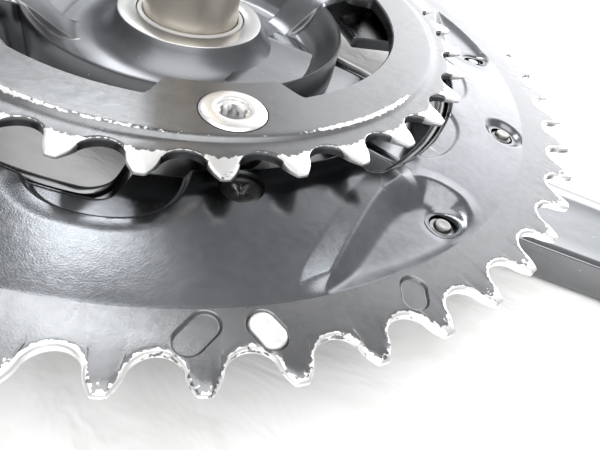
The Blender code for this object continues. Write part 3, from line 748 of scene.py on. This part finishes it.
def spider(material):
    """Boss, bowl-shaped web and four tabs of the drive arm."""
    parts = [np.arange(-180, 180, 0.75)]
    for bolt in BOLT_ANGLES:
        parts.append(np.linspace(bolt - 16, bolt + 16, 129))
    angles = np.unique(np.round(angle_from(np.concatenate(parts), 0), 3))
    reach = np.full(len(angles), SPIDER_RIM)
    for bolt in BOLT_ANGLES:
        off = np.radians(np.abs(angle_from(angles, bolt)))
        aside = BOLT_RADIUS * np.sin(off)
        head = BOLT_RADIUS * np.cos(off) + np.sqrt(np.maximum(TAB_ROUND ** 2 - aside ** 2, 0))
        side = TAB_ROUND / np.maximum(np.sin(off), 0.01)
        tab = np.where(aside < TAB_ROUND, head, side)
        tab = np.where(off > 0.5, 0, tab)
        reach = np.maximum(reach, tab) + 1.1 * np.exp(-((tab - reach) / 3.0) ** 2)
    share = smoothstep(41, 49, reach)
    loops, bare_and_sheen = [], []

    def add(radius, height):
        loops.append(wheel(radius * MM, angles, height * MM))
        inner, outer, lowest = SHOULDER
        machined = np.min(radius) > inner and np.max(radius) < outer and np.min(height) > lowest
        bare_and_sheen.append(np.full(len(angles), 1.0 if machined else 0.0))

    for radius, height in ((12.3, 8), (12.3, 27.3), (13.8, 27.3), (13.8, 28.4), (13.95, 28.5),
                           (17.95, 28.5), (18.2, 28.42), (18.35, 28.2), (19.0, 27.0), (20.1, 25.2),
                           (21.4, 23.7), (23.0, 22.6), (25.0, 21.9), (27.2, 21.6), (29.0, 21.55)):
        add(radius, height)
    for t in np.linspace(0.08, 0.96, 20):
        radius = 29 + (reach - 29) * t
        valley = np.interp(radius, (29, 32, 34.5, 36.8, 38.5, SPIDER_RIM),
                           (21.55, 22.1, 24.0, 27.0, 29.8, 30.9))
        tab = np.interp(radius, (29, 32, 36, 39, 41.5, 44), (21.55, 23.8, 27.8, 30.6, 32.0, 32.3))
        add(radius, valley + (tab - valley) * share)
    top = 30.9 + 1.4 * share
    low = 17.0 + 10.0 * share
    for inset, drop in ((0.35, 0.05), (0.1, 0.25), (0.0, 0.6)):
        add(reach - inset, top - drop)
    for inset, rise in ((0.0, 0.7), (0.4, 0.1), (0.9, 0.0)):
        add(reach - inset, low + rise)
    foot = 36 + 8.5 * share
    add(foot, low)
    add(foot - 1.0, low - 2 * share)
    add(36 - 2 * share, 17.0)
    add(30.0, 16.0)
    add(25.0, 8.0)
    add(24.0, 2.2)
    add(23.0, 1.2)
    for radius, height in ((14.5, 1.2), (14.5, 5.0), (12.3, 5.2)):
        add(radius, height)
    return loft("drive_arm_spider", loops, material, ["drive_arm"], sharp=50, bare_and_sheen=bare_and_sheen)


def arm_section(half, top):
    """Cross-section of an arm in (y, z), from the outer face round the near side, in millimetres."""
    points = []

    def bend(cy, cz, radius_y, radius_z, start, stop):
        for a in np.radians(np.linspace(start, stop, 6)):
            points.append((cy + radius_y * math.cos(a), cz + radius_z * math.sin(a)))

    points += [(y * half, 0.0) for y in (0.6, 0.2, -0.2, -0.6)]
    bend(-half + 2.8, 2.8, 2.8, 2.8, 270, 185)
    bend(-half + 0.55, top - 1.0, 0.55, 0.7, 175, 110)
    points += [(-half + 1.1, top - 0.25), (-half + 1.9, top), (-half + 2.3, top - 0.02)]
    points += [(y * half, top - 0.25) for y in (-0.72, -0.55)]
    points += [(y * half, top - 0.35) for y in (-0.2, 0.15)]
    points += [(0.42 * half, top - 0.25), (0.50 * half, top - 0.02), (0.54 * half, top)]
    points += [(0.60 * half, top - 0.15), (half - 2.2, top - 1.3)]
    bend(half - 1.2, top - 2.7, 1.2, 1.2, 60, 5)
    bend(half - 2.8, 2.8, 2.8, 2.8, -5, -90)
    return np.array(points)


def arm_beam(material):
    """Arm from the boss to the pedal eye, lofted along X."""
    xs = np.concatenate([np.arange(18, 150, 3.0), np.linspace(150, CRANK_LENGTH, 10),
                         CRANK_LENGTH + EYE_RADIUS * np.sin(np.radians(np.linspace(4, 88.5, 26)))])
    half = np.interp(xs, (18, 34, 55, 100, 130, 155, CRANK_LENGTH),
                     (20.5, 21.3, 18.0, 16.2, 15.4, 15.3, EYE_RADIUS))
    round_end = np.sqrt(np.maximum(EYE_RADIUS ** 2 - (xs - CRANK_LENGTH) ** 2, 0.1))
    half = np.where(xs > CRANK_LENGTH, round_end, half)
    top = np.interp(xs, (18, 48, 66, 84, 98, 146, 158, 190),
                    (23.8, 22.6, 19.0, 12.9, 11.3, 11.3, 12.8, 12.8))
    for _ in range(2):
        top[1:-1] = (top[:-2] + top[2:] + 2 * top[1:-1]) / 4
    loops = []
    for x, h, t in zip(xs, half, top):
        section = arm_section(EYE_RADIUS, t)
        section[:, 0] *= h / EYE_RADIUS
        loops.append(np.column_stack([np.full(len(section), x), section]) * MM)
    item = loft("drive_arm_beam", loops[::-1], material, ["drive_arm"],
                ring=False, sharp=28)
    bore = ((8.6, -1.0), (7.15, 0.6), (7.15, 11.9), (9.2, 13.2), (9.2, 15))
    hole = [wheel(r * MM, full_turn(64), z * MM) + [CRANK_LENGTH * MM, 0, 0] for r, z in bore]
    carve(item, "drive_arm_beam_eye", [hole])
    return item


# ---------------------------------------------------------------- CAD pieces shown as they are

def dress(node, material, voxel=None, smooth=0):
    """Give a CAD node its finish and soften its edges with modifiers only."""
    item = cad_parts[node]
    item.data.materials.clear()
    item.data.materials.append(material)
    if voxel:
        remesh = item.modifiers.new("remesh", "REMESH")
        remesh.mode = "VOXEL"
        remesh.voxel_size = voxel
        remesh.use_smooth_shade = True
        soften = item.modifiers.new("soften", "SMOOTH")
        soften.factor = 0.5
        soften.iterations = smooth
    else:
        mod = item.modifiers.new("edges", "BEVEL")
        mod.width = 0.15 * MM
        mod.segments = 2
        mod.limit_method = "ANGLE"
        mod.angle_limit = math.radians(35)
        mod.use_clamp_overlap = True


# ---------------------------------------------------------------- assembly

SEAL_BEAD = ((12.15, -0.9), (12.2, -0.2), (12.45, 0.05), (12.9, 0.1), (13.3, 0.02), (13.5, -0.25),
             (13.5, -0.9))    # radius, height over the seal's face

ring_black = anodised("ring_black", (0.165, 0.167, 0.170), 0.28)
panel_black = anodised("panel_black", (0.155, 0.160, 0.168), 0.21)
arm_metal = forged("arm_metal", (0.185, 0.190, 0.197), 0.14)
spider_metal = forged("spider_metal", (0.150, 0.154, 0.161), 0.30)
steel = bare_metal("spindle_steel_worn", (0.70, 0.65, 0.57), 0.34, (0.40, 0.30, 0.20), 0.4,
                   metallic=0.9)
silver = bare_metal("bolt_satin", (0.88, 0.88, 0.87), 0.30, (0.55, 0.53, 0.48), 0.18, turned=False)
dark = bare_metal("dark_zinc", (0.30, 0.30, 0.29), 0.30, (0.10, 0.09, 0.07), 0.5, turned=False)
seal_grey = moulded("seal_grey", (0.42, 0.42, 0.41), 0.35)
rubber = moulded("seal_black", (0.02, 0.02, 0.02), 0.6)
plastic = moulded("plastic_black", (0.03, 0.03, 0.03), 0.42)

big_ring_plate(ring_black)
big_ring_web(ring_black)
big_ring_cover(panel_black)
small_ring(ring_black)
for number, bolt in enumerate(BOLT_ANGLES, 1):
    ring_bolt(number, bolt, silver)
    cover_screw(number, bolt, dark)
for number, angle in enumerate(RIVETS, 1):
    cover_rivet(number, angle, dark)
for number, angle in enumerate(RAMPS, 1):
    shift_ramp(number, angle, silver)
spindle(steel)
spider(spider_metal)
arm_beam(arm_metal)
dress("left_arm", arm_metal, voxel=0.5 * MM, smooth=14)
for number in range(1, 5):
    dress(f"ring_nut_{number}", dark)
for number in (1, 2):
    dress(f"pinch_bolt_{number}", silver)
dress("chain_catch_pin", silver)
dress("stopper_pivot", silver)
dress("drive_end_cap", plastic)
dress("preload_cap", plastic)
dress("stopper_plate", plastic)
dress("cap_o_ring", rubber)
for node, side in (("drive_seal", 1), ("left_seal", -1)):
    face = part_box(node)[1 if side > 0 else 0].z + side * 0.1 * MM
    rows = [(r * MM, face + side * z * MM) for r, z in SEAL_BEAD]
    lathe(node + "_bead", rows[::side], seal_grey, [node], ring=True)


# ---------------------------------------------------------------- stage

FLOOR_REACH = 30.0            # metres from the middle to the floor's sides
ROOM_TONES = ((0.0, 0.13), (0.5, 0.17), (0.82, 0.16), (0.90, 0.18), (0.94, 0.42), (0.97, 0.68), (1.0, 1.0))
LIGHT_TARGET = Vector((0.03, -0.05, 0.02))


def add_stage():
    """Floor of pale cloth with soft wrinkles."""
    mesh = bpy.data.meshes.new("floor")
    corners = [(FLOOR_REACH * x, FLOOR_REACH * y, 0) for x, y in ((-1, -1), (1, -1), (1, 1), (-1, 1))]
    mesh.from_pydata(corners, [], [(0, 1, 2, 3)])
    f = Finish("floor_cloth", (0.90, 0.90, 0.89), 0.0, 0.8)
    f.set("Base Color", f.mix(f.span(f.noise(18 * MM, 4, (1, 1.5, 1), 1.0), 0.35, 0.6),
                              (0.84, 0.84, 0.82), (0.92, 0.92, 0.91)))
    f.bump(f.noise(30 * MM, 3, (1, 1.6, 1), 1.2), 4 * MM, 0.35)
    f.bump(f.noise(0.8 * MM, 2), 0.05 * MM, 0.3)
    mesh.materials.append(f.material)
    floor = bpy.data.objects.new("floor", mesh)
    floor.location.z = -0.1 * MM
    bpy.context.scene.collection.objects.link(floor)


def add_light(name, azimuth, elevation, distance, size, watts, colour=(1, 1, 1)):
    """Square soft light aimed at the middle of the rings."""
    data = bpy.data.lights.new(name, "AREA")
    data.shape = "RECTANGLE"
    data.size, data.size_y = size
    data.energy = watts
    data.color = colour
    lamp = bpy.data.objects.new(name, data)
    flat, up = distance * math.cos(math.radians(elevation)), distance * math.sin(math.radians(elevation))
    lamp.location = LIGHT_TARGET + Vector((*polar(flat, azimuth), up))
    lamp.rotation_euler = (LIGHT_TARGET - lamp.location).to_track_quat("-Z", "Y").to_euler()
    bpy.context.scene.collection.objects.link(lamp)


def add_world():
    """Room light: brightest low down on its window side, dim everywhere else."""
    world = bpy.data.worlds.new("studio")
    bpy.context.scene.world = world
    world.use_nodes = True
    tree = world.node_tree
    place = tree.nodes.new("ShaderNodeTexCoord")
    facing = tree.nodes.new("ShaderNodeVectorMath")
    facing.operation = "DOT_PRODUCT"
    angle, elevation = WINDOW_SIDE
    flat, up = polar(1, elevation)
    facing.inputs[1].default_value = (*polar(flat, angle), up)
    spread = tree.nodes.new("ShaderNodeMapRange")
    spread.inputs["From Min"].default_value = -1.0
    ramp = tree.nodes.new("ShaderNodeValToRGB")
    tree.links.new(place.outputs["Generated"], facing.inputs[0])
    tree.links.new(facing.outputs["Value"], spread.inputs["Value"])
    tree.links.new(spread.outputs["Result"], ramp.inputs[0])
    tree.links.new(ramp.outputs[0], tree.nodes["Background"].inputs["Color"])
    ramp.color_ramp.interpolation = "EASE"
    while len(ramp.color_ramp.elements) < len(ROOM_TONES):
        ramp.color_ramp.elements.new(0.5)
    for element, (at, level) in zip(ramp.color_ramp.elements, ROOM_TONES):
        element.position = at
        element.color = (level, level, level * 1.02, 1)
    tree.nodes["Background"].inputs["Strength"].default_value = 4.0


add_stage()
add_world()
add_light("left_window", 132, 49, 1.2, (0.44, 0.60), 8.0, (0.96, 0.98, 1.0))
add_light("overhead", -85, 66, 1.2, (1.5, 1.5), 19)
bpy.context.scene.view_settings.view_transform = "Standard"

camera = bpy.data.objects.new("camera", bpy.data.cameras.new("camera"))
camera.location = CAMERA_PLACE
camera.rotation_euler = [math.radians(a) for a in CAMERA_ANGLES]
camera.data.lens = CAMERA_LENS
camera.data.sensor_width = 36
camera.data.clip_start = 0.005
bpy.context.scene.collection.objects.link(camera)
bpy.context.scene.camera = camera
